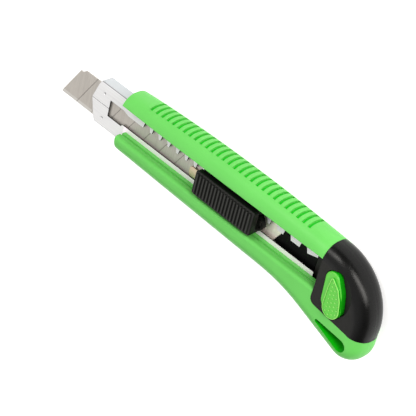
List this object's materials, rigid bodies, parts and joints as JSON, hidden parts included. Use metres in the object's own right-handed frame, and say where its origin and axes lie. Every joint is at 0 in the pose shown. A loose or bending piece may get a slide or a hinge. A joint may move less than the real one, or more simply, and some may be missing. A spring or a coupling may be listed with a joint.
{
  "type": "snap-off knife",
  "caption": "Snap-off utility knife with ribbed sliding thumb pad, notched steel blade channel, spare blade magazine and pull-off end cap with release button.",
  "frame": {"origin": "on the flat back the knife lies on, below the middle of the blade channel, 100 mm behind the tip of the blade", "axes": "+X along the knife from the blade towards the tail, +Y towards the spine of the blade, +Z out of the face that carries the slider"},
  "size_m": [0.1953, 0.0474, 0.0193],
  "materials": {
    "green_shell": "glossy moulded, bright green, shallow grip grooves",
    "green_button": "glossy moulded, bright green, raised rim and dots",
    "dark_plastic": "matte near-black moulded, rounded rims polished",
    "pad_plastic": "satin near-black moulded, cross-ribbed",
    "tray_plastic": "matte black moulded",
    "steel_channel": "bright rolled sheet, folded edges",
    "blade_steel": "ground and polished blade steel",
    "brass_plate": "warm-toned plated sheet",
    "plate_steel": "plain turned or stamped steel",
    "spring_steel": "spring steel strip or wire"
  },
  "bodies": {
    "handle": {"handle_body": "green_shell", "blade_channel": "steel_channel"},
    "slider": {"active_blade": "blade_steel", "slider_body": "dark_plastic", "slider_base_plate": "brass_plate", "blade_stud": "plate_steel", "guide_shoe": "dark_plastic", "slider_rivets": "plate_steel", "lock_spring": "spring_steel"},
    "thumb_pad": {"thumb_pad": "pad_plastic"},
    "end_cap": {"end_cap": "dark_plastic", "cap_core": "dark_plastic", "magazine_tray": "tray_plastic", "magazine_pins": "plate_steel", "follower_spring": "spring_steel", "button_spring": "spring_steel"},
    "follower": {"follower_plate": "plate_steel", "spare_blade_upper": "blade_steel", "spare_blade_lower": "blade_steel"},
    "button": {"release_button": "green_button", "latch_arm": "spring_steel"}
  },
  "joints": [
    {"name": "slider_travel", "type": "slide", "parent": "handle", "child": "slider", "axis": [1, 0, 0], "range_m": [-0.05067, 0.0317], "deforming": ["lock_spring"]},
    {"name": "pad_shift", "type": "slide", "parent": "slider", "child": "thumb_pad", "axis": [1, 0, 0], "range_m": [-0.0012, 0.0012], "stiffness_N_per_m": 400},
    {"name": "cap_pull", "type": "slide", "parent": "handle", "child": "end_cap", "axis": [1, 0, 0], "range_m": [0, 0.14], "deforming": ["latch_arm"]},
    {"name": "follower_press", "type": "slide", "parent": "end_cap", "child": "follower", "axis": [0, 0, -1], "range_m": [0, 0.0005], "stiffness_N_per_m": 800, "springref_m": -0.0005, "deforming": ["follower_spring"]},
    {"name": "button_press", "type": "slide", "parent": "end_cap", "child": "button", "axis": [0, 0, -1], "range_m": [0, 0.002], "stiffness_N_per_m": 1500, "deforming": ["button_spring"]}
  ]
}
